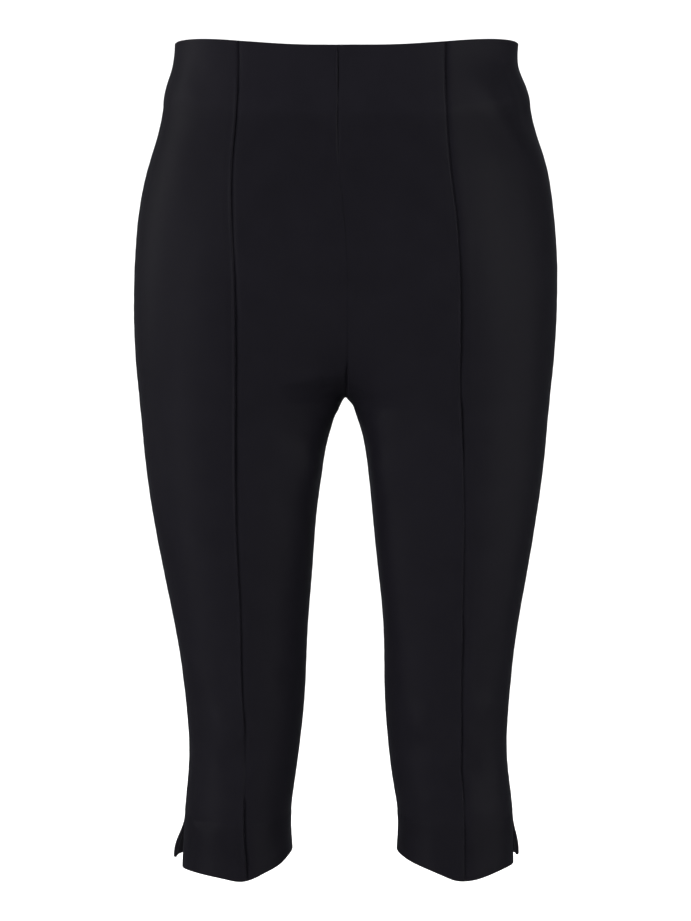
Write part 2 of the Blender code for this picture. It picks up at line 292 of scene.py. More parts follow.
# How a seam shows on the outside of the cloth along its length: the height and the breadth of the
# ridge where the allowances press against the panel beside it, the depth of the groove, and the
# groove's half width on the ridge's side and on the other.
SEAM_LOOK = "drop ridge breadth groove near far"
LONG_SEAM_RIGHT = table(
    SEAM_LOOK,
    (30, 0.00, 1.2, 1.62, 1.10, 1.50),
    (53, 0.80, 1.2, 1.60, 0.60, 1.40),
    (90, 0.80, 1.2, 1.80, 0.50, 1.40),
    (104, 0.40, 1.2, 1.40, 0.80, 1.40),
    (130, 0.90, 1.2, 1.30, 0.42, 2.30),
    (172, 0.40, 1.2, 1.20, 0.70, 1.70),
    (205, 1.30, 1.2, 1.50, 0.45, 2.30),
    (240, 1.70, 1.2, 1.60, 0.40, 2.20),
    (306, 1.60, 1.2, 1.70, 0.45, 2.00),
    (375, 1.20, 1.2, 1.60, 0.38, 2.30),
    (440, 0.70, 1.2, 1.32, 0.55, 2.20),
    (480, 0.50, 1.2, 1.32, 0.55, 2.10),
    (527, 0.70, 1.2, 1.80, 0.60, 1.70),
    (552, 0.40, 1.2, 1.30, 0.50, 1.80),
    (572, 0.70, 1.2, 1.50, 0.50, 1.70),
    (588, 0.00, 1.2, 1.10, 1.40, 1.90),
    (630, 0.00, 1.2, 1.10, 1.50, 2.20),
    (638, 0.80, 1.2, 1.90, 0.80, 1.80),
    (688, 1.20, 1.2, 1.95, 0.90, 1.80),
    (702, 0.30, 1.2, 1.30, 0.90, 1.60),
)
LONG_SEAM_LEFT = table(
    SEAM_LOOK,
    (0, 0.00, 1.2, 1.76, 1.30, 1.50),
    (37, 0.00, 1.2, 2.29, 1.20, 1.90),
    (56, 0.00, 1.2, 1.62, 1.20, 1.60),
    (70, 0.00, 1.2, 1.35, 1.00, 1.70),
    (87, 0.00, 1.2, 1.76, 1.20, 1.60),
    (130, 0.20, 1.2, 1.62, 1.00, 2.00),
    (171, 0.60, 1.2, 1.20, 0.50, 2.00),
    (200, 1.40, 1.2, 1.40, 0.40, 2.20),
    (255, 1.00, 1.2, 1.50, 0.35, 2.20),
    (272, 0.40, 1.2, 1.30, 0.90, 1.60),
    (292, 0.40, 1.2, 1.30, 0.90, 1.30),
    (306, 1.50, 1.2, 1.70, 0.45, 1.60),
    (340, 0.80, 1.2, 1.20, 0.35, 1.40),
    (357, 0.40, 1.2, 1.03, 0.80, 2.00),
    (425, 0.30, 1.2, 1.26, 0.90, 2.10),
    (475, 0.20, 1.2, 1.49, 1.00, 2.60),
    (493, 0.50, 1.2, 1.95, 0.40, 2.60),
    (530, 0.30, 1.2, 1.82, 0.90, 2.80),
    (560, 0.40, 1.2, 1.50, 0.70, 1.90),
    (577, 0.60, 1.2, 1.80, 0.70, 1.20),
    (600, 0.40, 1.2, 1.60, 0.70, 1.30),
    (628, 0.40, 1.2, 1.40, 0.50, 2.20),
    (645, 0.00, 1.2, 1.12, 0.90, 2.00),
    (670, 0.00, 1.2, 1.82, 1.10, 2.00),
    (702, 0.00, 1.2, 1.54, 1.40, 2.80),
)
CENTRE_FRONT_SEAM = table(
    SEAM_LOOK,
    (13, 0.00, 0.7, 0.00, 0.45, 0.45),
    (16, 1.00, 0.8, 2.00, 0.35, 0.30),
    (41, 1.00, 0.8, 2.00, 0.35, 0.30),
    (46, 0.05, 0.9, 0.95, 0.80, 0.80),
    (57, 0.05, 0.9, 0.95, 0.85, 0.85),
    (62, 0.10, 0.9, 1.25, 0.95, 1.00),
    (74, 0.05, 0.9, 1.25, 0.95, 1.10),
    (95, 0.00, 0.9, 1.04, 1.10, 1.10),
    (110, 0.00, 0.9, 0.10, 0.90, 0.90),
    (146, 0.10, 0.9, 0.06, 0.60, 0.60),
    (162, 0.10, 0.9, 0.06, 0.60, 0.60),
    (176, 0.00, 0.9, 0.00, 0.60, 0.60),
    (264, 0.00, 0.9, 0.00, 0.90, 0.90),
    (270, 0.00, 0.9, 2.00, 1.90, 1.30),
    (290, 0.00, 0.9, 3.80, 2.80, 1.80),
    (298, 0.00, 0.9, 0.30, 0.60, 0.60),
    (702, 0.05, 0.9, 0.70, 0.60, 0.60),
)
PLAIN_SEAM = table(SEAM_LOOK, (0, 0.30, 1.1, 0.90, 0.60, 1.20))
CENTRE_BACK_SEAM = table(
    SEAM_LOOK,
    (0, 0.00, 0.9, 0.00, 0.60, 0.60),
    (5, 0.00, 0.9, 0.10, 0.60, 0.60),
    (8, 0.20, 0.9, 0.90, 0.60, 0.80),
    (120, 0.20, 0.9, 0.95, 0.60, 0.90),
    (285, 0.15, 0.9, 0.90, 0.60, 0.90),
    (298, 0.00, 0.9, 0.30, 0.60, 0.60),
    (702, 0.05, 0.9, 0.70, 0.60, 0.60),
)

# A panel's columns near each side edge, by their distance from it, and how many are between.
EDGE_COLUMNS = np.array(
    [0, 0.25, 0.5, 0.8, 1.2, 1.7, 2.3, 3.1, 4.2, 5.6, 7.2, 8.6, 9.0, 9.4, 9.8, 11.5]
)
COLUMNS = {"front": 30, "side": 31, "back": 82}
# How far below the top edge, and above the hem, the rows near them are.
EDGE_ROWS = np.array([0, 0.12, 0.35, 0.7, 1.1, 1.6, 2.3, 3.3, 4.8, 7.0])
LINE_POINTS = 193  # on each row, to measure it by
CREASE_POINTS = 15  # along each crease
FACING_ROW = 16  # the number of a row on the facing, whose angles its lower edge is laid by

ALLOWANCE = 9.4  # how wide a seam allowance is
ALLOWANCE_SHOW = 0.10  # how far it lifts the cloth over it
GROOVE_SHARE = 0.6  # of the wall: where a groove is deeper, the inside is pushed in with it
SLIT_GAP = 1.2  # how far the two edges of a slit part at the hem
BEND = 9.0  # over which the cloth turns into the seam in the middle
SPAN = 7.0  # how far from the middle the cloth spans the dip between the legs, above the crotch
SPAN_FADE = 28.0  # over which that narrows to nothing towards the crotch point
QUIET_DROP = CROTCH_DROP + 4.0  # where the cloth beside the crotch point has no creases
QUIET_FADE = 14.0
FACING_ROLL = 9.0  # over which the cloth bends over the edge of the facing
ROLL_BELOW = 4.0  # how far below the facing's edge the middle of that bend is

# How far inside and outside a raw edge the overlocking reaches, at the seam allowances and at the
# facing and the hems, and how far apart the points of its straight thread are.
ALLOWANCE_THREAD = (1.9, 0.7)
BAND_THREAD = (2.2, 1.2)
THREAD_POINTS = 3.0

Piece = namedtuple("Piece", "kind from_edge to_edge")
PIECES = {
    "front": Piece("front", "front middle", "front seam"),
    "side": Piece("side", "front seam", "side seam"),
    "back": Piece("back", "side seam", "back middle"),
}
SEAM_LOOKS = {
    "front middle": {"right": CENTRE_FRONT_SEAM, "left": CENTRE_FRONT_SEAM},
    "front seam": {"right": LONG_SEAM_RIGHT, "left": LONG_SEAM_LEFT},
    "side seam": {"right": PLAIN_SEAM, "left": PLAIN_SEAM},
    "back middle": {"right": CENTRE_BACK_SEAM, "left": CENTRE_BACK_SEAM},
}

# Each panel as it was cut: its greatest width and length, and its area in square metres.
Cut = namedtuple("Cut", "width length area")


def curve(rows, column):
    """A smooth curve through one column of a table, as a function of the table's first column."""
    at = np.array([row[0] for row in rows], float)
    value = np.array([getattr(row, column) for row in rows], float)
    gap = np.diff(at)
    slope = np.diff(value) / gap
    count = len(at)
    system = np.eye(count)
    known = np.zeros(count)
    for i in range(1, count - 1):
        system[i, i - 1 : i + 2] = gap[i - 1], 2 * (gap[i - 1] + gap[i]), gap[i]
        known[i] = 6 * (slope[i] - slope[i - 1])
    bend = np.linalg.solve(system, known)

    def read(x):
        x = np.clip(x, at[0], at[-1])
        i = np.clip(np.searchsorted(at, x) - 1, 0, count - 2)
        left, right = x - at[i], at[i + 1] - x
        return (
            (bend[i] * right**3 + bend[i + 1] * left**3) / (6 * gap[i])
            + (value[i] / gap[i] - bend[i] * gap[i] / 6) * right
            + (value[i + 1] / gap[i] - bend[i + 1] * gap[i] / 6) * left
        )

    return read


def smooth(t):
    """0 before 0, 1 after 1, and an even S between them."""
    t = np.clip(t, 0, 1)
    return t * t * (3 - 2 * t)


def step(past, breadth):
    """0 before an edge and 1 past it, by the distance past it and the breadth of the change."""
    return smooth(past / breadth + 0.5)


def bell(t):
    return np.exp(-(t**2))


def along_table(rows, column, drop):
    """A column of a table read along straight lines between its rows."""
    return np.interp(drop, [row.drop for row in rows], [getattr(row, column) for row in rows])


def unit(vectors):
    return vectors / np.linalg.norm(vectors, axis=-1, keepdims=True)


def lengths(points):
    """How far along it each point of a line, or of each line in a row, is."""
    steps = np.linalg.norm(np.diff(points, axis=-2), axis=-1)
    return np.concatenate([np.zeros((*steps.shape[:-1], 1)), np.cumsum(steps, axis=-1)], axis=-1)


def spread(line, count):
    """Points at an even gap along a line."""
    at = lengths(line)
    wanted = np.linspace(0, at[-1], count)
    return np.stack([np.interp(wanted, at, line[:, i]) for i in range(3)], axis=1)


def to_line(points, line):
    """How far each point of a grid is from a line, and at what share of the line it is nearest."""
    start, part = line[:-1], np.diff(line, axis=0)
    square = np.maximum((part**2).sum(-1), 1e-12)
    length = np.sqrt(square)
    before = np.concatenate([[0], np.cumsum(length)[:-1]])
    away, along = [], []
    for row in points:
        offset = row[:, None] - start[None]
        share = np.clip((offset * part).sum(-1) / square, 0, 1)
        gap = np.linalg.norm(offset - share[..., None] * part, axis=-1)
        nearest = gap.argmin(axis=1)
        picked = np.arange(len(row))
        away.append(gap[picked, nearest])
        along.append(before[nearest] + share[picked, nearest] * length[nearest])
    return np.array(away), np.array(along) / length.sum()


class Leg:
    """One leg with its half of the seat, in millimetres."""

    def __init__(self, side, sign):
        self.side = side
        self.sign = sign
        self.half_width = curve(SECTIONS, side)
        self.centre, self.front, self.back, self.behind = (
            curve(SECTIONS, column) for column in ("centre", "front", "back", "behind")
        )
        self.gap = curve(GAPS, side)
        self.seam = curve(FRONT_SEAMS, side)
        self.lean = curve(CENTRE_FRONT, "right")
        self.front_hem = curve(FRONT_HEM, side)
        self.back_hem = curve(BACK_HEM, side)
        self.curl = SLIT_CORNER[side]

    def own(self, rows):
        return [row for row in rows if row.leg == self.side]

    def inner_width(self, drop, curve_height):
        """Half width of the oval on its inner side, which is past the middle above the crotch."""
        least = 0.02  # keeps the width finite above the crotch curve
        centre = self.centre(drop)
        above = np.clip((CROTCH_DROP - drop) / curve_height, 0, 1)
        share = np.maximum((1 - above) ** CURVE_POWER, least)
        return np.where(drop < CROTCH_DROP, centre / share, centre - self.gap(drop))

    def oval(self, drop, angle):
        """Points of the plain oval."""
        centre = self.centre(drop)
        inner_front = self.inner_width(drop, FRONT_CURVE)
        inner_back = self.inner_width(drop, BACK_CURVE)
        inner = np.where(np.cos(angle) > 0, inner_front, inner_back)
        width = np.where(np.sin(angle) > 0, self.half_width(drop) - centre, inner)
        depth = np.where(np.cos(angle) > 0, self.front(drop), self.back(drop))
        x = centre + width * np.sin(angle)
        y = self.behind(drop) - depth * np.cos(angle)
        return np.stack([self.sign * x, y, -drop + 0 * x], axis=-1)

    def normal(self, drop, angle):
        """Unit vectors that point out of the oval."""
        fine = 0.1
        least = 200.0
        turn = 2 * fine / np.maximum(self.inner_width(drop, FRONT_CURVE), least)
        around = self.oval(drop, angle + turn) - self.oval(drop, angle - turn)
        down = self.oval(drop + fine, angle) - self.oval(drop - fine, angle)
        return unit(np.cross(down, around) * self.sign)

    def span_lift(self, drop, near, height):
        """How far stretched cloth stands over the dip between the legs, at a distance from it."""
        steepest = 0.94
        width = self.inner_width(drop, height)
        sine = np.clip(self.centre(drop) / width, 0, steepest)
        slope = self.front(drop) / width * sine / np.sqrt(1 - sine**2)
        reach = SPAN * smooth((QUIET_DROP - drop) / SPAN_FADE)
        return slope * (np.sqrt(near**2 + reach**2) - near) * (drop < CROTCH_DROP)

    def fold_lift(self, points, out):
        """How far the largest folds lift the cloth at each point."""
        lift = np.zeros(points.shape[:-1])
        flat = np.stack([points[..., 0] * self.sign, -points[..., 2]], axis=-1)
        for fold in self.own(FOLDS):
            ends = [(fold.from_out, fold.from_drop), (fold.to_out, fold.to_drop)]
            away, _ = to_line(flat, np.array(ends, float))
            facing = out[..., 1] * (-1 if fold.face == "front" else 1)
            lift += fold.height * bell(away / fold.width) * smooth(facing / 0.5)
        return lift

    def crease_lift(self, points):
        """How far the small creases and the broad swells lift it."""
        lift = np.zeros(points.shape[:-1])
        share = np.linspace(0, 1, CREASE_POINTS)
        for crease in self.own(CREASES):
            angle = crease.from_angle + (crease.to_angle - crease.from_angle) * share
            drop = crease.from_drop + (crease.to_drop - crease.from_drop) * share
            drop = drop + crease.bow * np.sin(np.pi * share)
            away, along = to_line(points, self.oval(drop, np.radians(angle)))
            fade = smooth(np.minimum(along, 1 - along) / 0.42 + 0.12)
            width = crease.width * (0.8 + 0.5 * along)  # it widens towards its end
            lift += crease.height * fade * bell(away / width)
        for swell in self.own(SWELLS):
            away = points - self.oval(np.array(float(swell.drop)), np.radians(swell.angle))
            level = np.linalg.norm(away[..., :2], axis=-1)
            lift += swell.height * bell(level / swell.wide) * bell(away[..., 2] / swell.tall)
        return lift

    def edge_angle(self, edge, drop):
        """Where a panel's edge lies round the leg at this drop."""
        centre = self.centre(drop)
        if edge == "side seam":
            return np.radians(SIDE_SEAM) + 0 * drop
        if edge == "front seam":
            away = self.seam(drop) - centre
            outer = np.arcsin(np.clip(away / (self.half_width(drop) - centre), 0, 1))
            inner = np.arcsin(np.clip(-away / self.inner_width(drop, FRONT_CURVE), 0, 1))
            return outer - inner
        front = edge == "front middle"
        lean = -self.sign * self.lean(drop) if front else 0.0
        height = FRONT_CURVE if front else BACK_CURVE
        reach = (centre - lean) / self.inner_width(drop, height)
        past = np.where(drop < CROTCH_DROP, np.arcsin(np.clip(reach, 0, 1)), np.pi / 2)
        return -past if front else np.pi + past

    def level(self, row, angle, kind):
        """The drop of a row's points: the rows follow the top edge and the hem near them."""
        at_waist = smooth(1 - row / WAIST_FADE)
        forward = np.cos(angle)
        dip = np.where(forward > 0, WAIST_DIP * forward**4, -WAIST_BACK * forward**2)
        at_hem = smooth(1 - (HEM_DROP - row) / HEM_FADE)
        hem = self.back_hem if kind == "back" else self.front_hem
        return row + dip * at_waist + hem(np.degrees(angle)) * at_hem

    def edge(self, edge, row, kind):
        """The angle of an edge in each row, at that row's own level there."""
        angle = self.edge_angle(edge, row)
        for _ in range(6):
            angle = self.edge_angle(edge, self.level(row, angle, kind))
        return angle


LEGS = {"right": Leg("right", -1), "left": Leg("left", 1)}


def slit_share(row):
    """0 at the top of the slit and 1 at the hem."""
    return (row - (HEM_DROP - SLIT)) / SLIT


def panel_rows():
    """Drops of the rows: close together where an edge rolls, a layer ends or the legs part."""
    high, low = CROTCH_DROP - 60.0, CROTCH_DROP + 46.0
    waist = np.linspace(10.0, BAND_SIDE - 4.0, 10)
    facing = np.arange(BAND_SIDE - 2.0, BAND_MIDDLE + 4.5, 1.2)
    seat = np.linspace(BAND_MIDDLE + 7.0, high, 50)[:-1]
    above = CROTCH_DROP - (CROTCH_DROP - high) * (np.arange(28, 0, -1) / 28) ** 2
    below = CROTCH_DROP + (low - CROTCH_DROP) * (np.arange(1, 20) / 20) ** 1.6
    leg = np.arange(low + 1.0, HEM_LINE - 8.0, 3.4)
    turn_up = HEM_LINE - np.array([5, 3, 1.8, 1, 0.4, -0.2, -0.8, -2, -4, -6.5, -9.5])
    hem = HEM_DROP - np.linspace(32.0, 9.5, 8)
    parts = [EDGE_ROWS, waist, facing, seat, above, [CROTCH_DROP], below, leg, turn_up, hem]
    return np.concatenate([*parts, HEM_DROP - EDGE_ROWS[::-1]])


def column_places(length, crotch_length, columns):
    """Distances of a row's columns from the edge away from the middle.

    Above the crotch point the middle edge moves away fast, and mostly the columns near it follow.
    """
    short = max(crotch_length - length, 0.0)
    power = 1 + 3 / (1 + (6 * short / crotch_length) ** 2)
    share = np.arange(1, columns) / columns
    return (length + short) * share - short * share**power


# A panel's points: their rows' drops, their own, their angles and places, and how far they are
# from the panel's two side edges and from the nearer one.
Grid = namedtuple("Grid", "row level angle base from_start from_end near")


def panel_grid(leg, piece, columns):
    """The place of each point of a panel, and its distances from the two side edges."""
    row = panel_rows()
    start = leg.edge(piece.from_edge, row, piece.kind)
    end = leg.edge(piece.to_edge, row, piece.kind)
    fine = start[:, None] + (end - start)[:, None] * np.linspace(0, 1, LINE_POINTS)
    length = lengths(leg.oval(leg.level(row[:, None], fine, piece.kind), fine))
    at_crotch = np.interp(CROTCH_DROP, row, length[:, -1])
    inset = EDGE_COLUMNS[-1]
    angle = []
    for i, total in enumerate(length[:, -1]):
        parted = SLIT_GAP / 2 * smooth(slit_share(row[i]))
        low = parted if piece.from_edge == "side seam" else 0.0
        high = total - (parted if piece.to_edge == "side seam" else 0.0)
        middle = high - low - 2 * inset
        inside = column_places(middle, max(at_crotch - 2 * inset, middle), columns)
        if piece.from_edge == "front middle":
            inside = middle - inside[::-1]
        at = np.concatenate([low + EDGE_COLUMNS, low + inset + inside, high - EDGE_COLUMNS[::-1]])
        angle.append(np.interp(at, length[i], fine[i]))
    row = row[:, None]
    angle = np.array(angle)
    level = leg.level(row, angle, piece.kind)
    base = leg.oval(level, angle)
    from_start, _ = to_line(base, base[:, 0])
    from_end, _ = to_line(base, base[:, -1])
    near = np.minimum(from_start, from_end)
    return Grid(row, level, angle, base, from_start, from_end, near)


def directions(leg, piece, grid):
    """Which way is out of the cloth at each point.

    Beside the seam in the middle it turns into the plane between the legs, where the two sides
    of that seam meet.
    """
    out = leg.normal(grid.level, grid.angle)
    if "middle" in piece.from_edge + piece.to_edge:
        near = grid.from_start if "middle" in piece.from_edge else grid.from_end
        share = (1 - smooth(near / BEND)) * smooth((CROTCH_DROP - grid.row) / 2.0)
        flat = unit(out * np.array([0.0, 1.0, 1.0]) + np.array([0.0, 0.0, -1e-3]))
        out = unit(out * (1 - share[..., None]) + flat * share[..., None])
    return out


def ridge_is_here(leg, piece, edge):
    """True for the panel that the allowances of a seam are pressed against."""
    if edge == "front seam":
        return (piece.kind == "side") == (leg.side == "right")
    if edge == "side seam":
        return piece.kind == "back"
    return leg.side == "right"


def seam_lift(leg, piece, grid):
    """How the seams of a panel show on its outside: a ridge, a groove and puckers.

    The ridge is a little uneven along its length, and the puckers are a few millimetres apart.
    """
    lift = np.zeros(grid.base.shape[:-1])
    wavering = 1 + 0.16 * np.sin(grid.level / 17.0) + 0.12 * np.sin(grid.level / 6.1 + 1.7)
    for edge, away in ((piece.from_edge, grid.from_start), (piece.to_edge, grid.from_end)):
        look = SEAM_LOOKS[edge][leg.side]
        ridge, breadth, groove, near, far = (
            along_table(look, column, grid.level) for column in SEAM_LOOK.split()[1:]
        )
        here = ridge_is_here(leg, piece, edge)
        seam = -groove * np.exp(-((away / (near if here else far)) ** 1.6))
        if here:
            seam = seam + ridge * wavering * bell((away + 0.2 - 2 * near) / breadth)
        pucker = 0.09 * np.sin(grid.level / 2.3 + np.sin(grid.level / 9.0) * 1.8)
        seam = seam + pucker * np.exp(-away / 5.0) * smooth(away / 1.5) * (groove > 0.3)
        if edge == "side seam":
            seam = seam * step(-slit_share(grid.row), 0.12)
        lift += seam
    return lift


def even_lift(leg, grid):
    """The slight unevenness of cloth that hangs by its own weight, as two crossed waves."""
    along = grid.level + 31.0 * (leg.sign > 0)
    around = grid.angle * 90.0
    wave = np.sin(along / 19.0 + np.sin(around / 23.0)) * np.sin(around / 15.0 + along / 61.0)
    slow = np.sin(along / 43.0 + 1.3) * np.sin(around / 31.0 + 0.6 + 5.0 * (leg.sign < 0))
    return 0.07 * wave + 0.16 * slow


def facing_depth(angle):
    """How far below the top edge the facing ends, round the leg."""
    return BAND_SIDE + (BAND_MIDDLE - BAND_SIDE) * np.cos(angle) ** 2


def past_facing(grid):
    """How far each point is below the place where the cloth bends over the facing's edge."""
    wavy = 1.2 * np.sin(grid.angle * 7.0) + 0.8 * np.sin(grid.angle * 17.0 + 1.0)
    return grid.row - facing_depth(grid.angle) - wavy - ROLL_BELOW


def body_lift(leg, piece, grid, out, sizes):
    """How far the cloth stands proud of the plain oval, apart from its seams.

    The facing, the turned-up hem and the allowances lift it, with a slight dip below the facing.
    """
    lift = leg.fold_lift(grid.base, out)
    if piece.kind != "side":
        front = piece.kind == "front"
        lift += leg.span_lift(
            grid.level,
            grid.from_start if front else grid.from_end,
            FRONT_CURVE if front else BACK_CURVE,
        )
    above = smooth((QUIET_DROP - grid.row) / QUIET_FADE)
    below = smooth((grid.row - QUIET_DROP) / QUIET_FADE)
    creased = np.clip(above + below + smooth(grid.near / 20), 0, 1)
    lift += sizes.crease_depth * (leg.crease_lift(grid.base) + even_lift(leg, grid)) * creased
    lift += ALLOWANCE_SHOW * step(ALLOWANCE - grid.near, 3.0)
    past = past_facing(grid)
    dip = 0.5 * bell((past - FACING_ROLL) / 5.0)
    lift += sizes.facing_show * (step(-past, FACING_ROLL) - dip)
    hem_line = HEM_LINE + 0.8 * np.sin(grid.angle * 9.0)
    lift += sizes.hem_show * step(grid.row - hem_line, 5.0)
    if piece.kind == "back":
        curled = step(slit_share(grid.row) - 0.5, 0.8)
        lift += leg.curl * curled * bell(grid.from_start / SLIT_CURL)
    return lift


def wall(grid, cloth):
    """How thick the layers are, from the thickness of one: the allowances add most of a layer."""
    layers = 1 + step(facing_depth(grid.angle) - grid.row, 1.4) + step(grid.row - HEM_LINE, 1.2)
    return cloth * (layers + 0.8 * step(ALLOWANCE - grid.near, 0.8))


def rolled(piece, grid, thick):
    """The share of its full thickness that the cloth has near its folded edges, the slit's too."""
    least, out_of_reach = 0.06, 40.0
    away = np.minimum(grid.row, HEM_DROP - grid.row)
    if "side seam" in (piece.from_edge, piece.to_edge):
        near = grid.from_start if piece.from_edge == "side seam" else grid.from_end
        away = np.minimum(away, near + out_of_reach * step(-slit_share(grid.row), 0.04))
    across = 1 - np.clip(away / (thick / 2), 0, 1)
    return np.maximum(np.sqrt(1 - across**2), least)


# A panel's two skins, its places across the cloth, where it is pressed, and its painted-light mask.
Sheet = namedtuple("Sheet", "grid outer inner across pressed faced")


def panel_sheet(leg, piece, sizes):
    """A panel of one leg, as its points."""
    grid = panel_grid(leg, piece, COLUMNS[piece.kind])
    out = directions(leg, piece, grid)
    thick = wall(grid, sizes.cloth / MM)
    full = rolled(piece, grid, thick)
    body = body_lift(leg, piece, grid, out, sizes)
    seams = sizes.seam_depth * seam_lift(leg, piece, grid)
    outer = body + seams - (1 - full) * thick / 2
    inner = body - (1 + full) * thick / 2 + np.minimum(seams + thick * GROOVE_SHARE, 0)
    across = lengths(grid.base)
    across = across - across[:, -1:] / 2
    ends = np.minimum(grid.row, HEM_DROP - grid.row)
    pressed = np.maximum(np.exp(-grid.near / 1.6), np.exp(-ends / 1.8))
    turned_up = step(grid.row - HEM_LINE, FACING_ROLL)
    # Painted light: the cloth over the facing is made lighter, standing in for light from above on
    # the band, and the turned-up hem a little darker.
    faced = step(-past_facing(grid), FACING_ROLL) - 0.6 * turned_up
    points = (grid.base + out * lift[..., None] for lift in (outer, inner))
    return Sheet(grid, *points, across, pressed, faced)


def grid_faces(rows, columns, first, turned):
    """The faces of a grid of points, as rows of four point numbers."""
    at = first + np.arange(rows * columns).reshape(rows, columns)
    corners = [at[:-1, :-1], at[1:, :-1], at[1:, 1:], at[:-1, 1:]]
    faces = np.stack(corners[::-1] if turned else corners, axis=-1)
    return faces.reshape(-1, 4)


def rim_faces(rows, columns, turned):
    """The faces round the edge, from the outer points to the inner ones."""
    at = np.arange(rows * columns).reshape(rows, columns)
    loop = np.concatenate([at[0], at[1:-1, -1], at[-1, ::-1], at[-2:0:-1, 0]])
    before = np.roll(loop, 1)
    inner = rows * columns
    faces = np.stack([before, loop, loop + inner, before + inner], axis=-1)
    return faces[:, ::-1] if turned else faces


def sheet_object(name, sheet, sign, finish):
    """A panel's mesh, with its place on the cloth as a UV map and three attributes, one a
    painted-light mask.
    """
    rows, columns = sheet.outer.shape[:2]
    count = rows * columns
    turned = sign < 0
    faces = np.concatenate(
        [
            grid_faces(rows, columns, 0, turned),
            grid_faces(rows, columns, count, not turned),
            rim_faces(rows, columns, turned),
        ]
    )
    points = np.concatenate([sheet.outer.reshape(-1, 3), sheet.inner.reshape(-1, 3)]) * MM
    mesh = bpy.data.meshes.new(name)
    mesh.from_pydata(points.tolist(), [], faces.tolist())
    flat = np.stack([sheet.across, -sheet.grid.level], axis=-1).reshape(-1, 2) * MM
    flat = np.concatenate([flat, flat])
    corner = np.empty(len(mesh.loops), np.int32)
    mesh.loops.foreach_get("vertex_index", corner)
    mesh.uv_layers.new(name="cloth").data.foreach_set("uv", flat[corner].ravel())
    marks = {
        "inside": np.repeat([0.0, 1.0], count),
        "pressed": np.tile(sheet.pressed.ravel(), 2),
        "faced": np.tile(sheet.faced.ravel(), 2),
    }
    for attribute, values in marks.items():
        mesh.attributes.new(attribute, "FLOAT", "POINT").data.foreach_set("value", values)
    mesh.shade_smooth()
    mesh.materials.append(finish)
    made = bpy.data.objects.new(name, mesh)
    bpy.context.scene.collection.objects.link(made)
    return made


def across_panel(sheet, away, rows, from_start):
    """The line on the inside of a panel at one distance from a side edge."""
    distance, inner = sheet.grid.from_start, sheet.inner
    if not from_start:
        distance, inner = sheet.grid.from_end[:, ::-1], inner[:, ::-1]
    half = distance.shape[1] // 2
    picked = []
    for i in rows:
        near = np.maximum.accumulate(distance[i, :half])
        picked.append([np.interp(away, near, inner[i, :half, axis]) for axis in range(3)])
    return np.array(picked)


def down_panel(sheet, drops):
    """The line on the inside of a panel at one drop for each column, between its side threads."""
    row = sheet.grid.row[:, 0]
    clear = np.searchsorted(EDGE_COLUMNS, ALLOWANCE - 1.0)
    picked = [
        [np.interp(drops[j], row, sheet.inner[:, j, axis]) for axis in range(3)]
        for j in range(clear, sheet.inner.shape[1] - clear)
    ]
    return np.array(picked)


def overlocked(body, edge, pitch):
    """The thread over one raw edge: it goes to and fro over the edge, and along inside it."""
    length = lengths(body)[-1]
    count = max(int(length / pitch), 3)
    woven = np.empty((2 * count, 3))
    woven[0::2], woven[1::2] = spread(body, count), spread(edge, count)
    return [woven, spread(body, max(int(length / THREAD_POINTS), 2))]


def thread_object(name, lines, thick, finish):
    """Thread laid along several lines, as one piece."""
    curve_data = bpy.data.curves.new(name, "CURVE")
    curve_data.dimensions = "3D"
    curve_data.bevel_depth = thick / 2
    curve_data.bevel_resolution = 0
    curve_data.use_fill_caps = True
    for line in lines:
        spline = curve_data.splines.new("POLY")
        spline.points.add(len(line) - 1)
        flat = np.concatenate([line * MM, np.ones((len(line), 1))], axis=1)
        spline.points.foreach_set("co", flat.ravel())
    made = bpy.data.objects.new(name, curve_data)
    bpy.context.scene.collection.objects.link(made)
    bpy.ops.object.select_all(action="DESELECT")
    made.select_set(True)
    bpy.context.view_layer.objects.active = made
    bpy.ops.object.convert(target="MESH")
    made = bpy.context.object
    made.data.name = name
    made.data.materials.clear()
    made.data.materials.append(finish)
    return made


def overlocking(sheet, pitch):
    """The lines of thread over the raw edges inside a panel: two sides, the facing and the hem."""
    row = sheet.grid.row[:, 0]
    lines = []
    between = np.flatnonzero((row > BAND_MIDDLE + 3) & (row < HEM_LINE - 2))
    inside, outside = ALLOWANCE_THREAD
    for from_start in (True, False):
        edge = across_panel(sheet, ALLOWANCE + outside, between, from_start)
        body = across_panel(sheet, ALLOWANCE - inside, between, from_start)
        lines += overlocked(body, edge, pitch)
    facing = facing_depth(sheet.grid.angle[FACING_ROW])
    inside, outside = BAND_THREAD
    for raw, down in ((facing, 1), (np.full(len(facing), HEM_LINE), -1)):
        edge = down_panel(sheet, raw + outside * down)
        body = down_panel(sheet, raw - inside * down)
        lines += overlocked(body, edge, pitch)
    return lines


class Wire:
    """An output of a node, which can be used in arithmetic."""

    def __init__(self, finish, socket):
        self.finish = finish
        self.socket = socket

    def out(self, name):
        return Wire(self.finish, self.socket.node.outputs[name])

    def math(self, operation, other=None, turned=False):
        sockets = {0: other, 1: self} if turned else {0: self}
        if other is not None and not turned:
            sockets[1] = other
        return self.finish.node("ShaderNodeMath", {"operation": operation}, sockets)

    def __add__(self, other):
        return self.math("ADD", other)

    __radd__ = __add__

    def __mul__(self, other):
        return self.math("MULTIPLY", other)

    __rmul__ = __mul__

    def __sub__(self, other):
        return self.math("SUBTRACT", other)

    def __rsub__(self, other):
        return self.math("SUBTRACT", other, True)

    def __truediv__(self, other):
        return self.math("DIVIDE", other)

    def __rtruediv__(self, other):
        return self.math("DIVIDE", other, True)


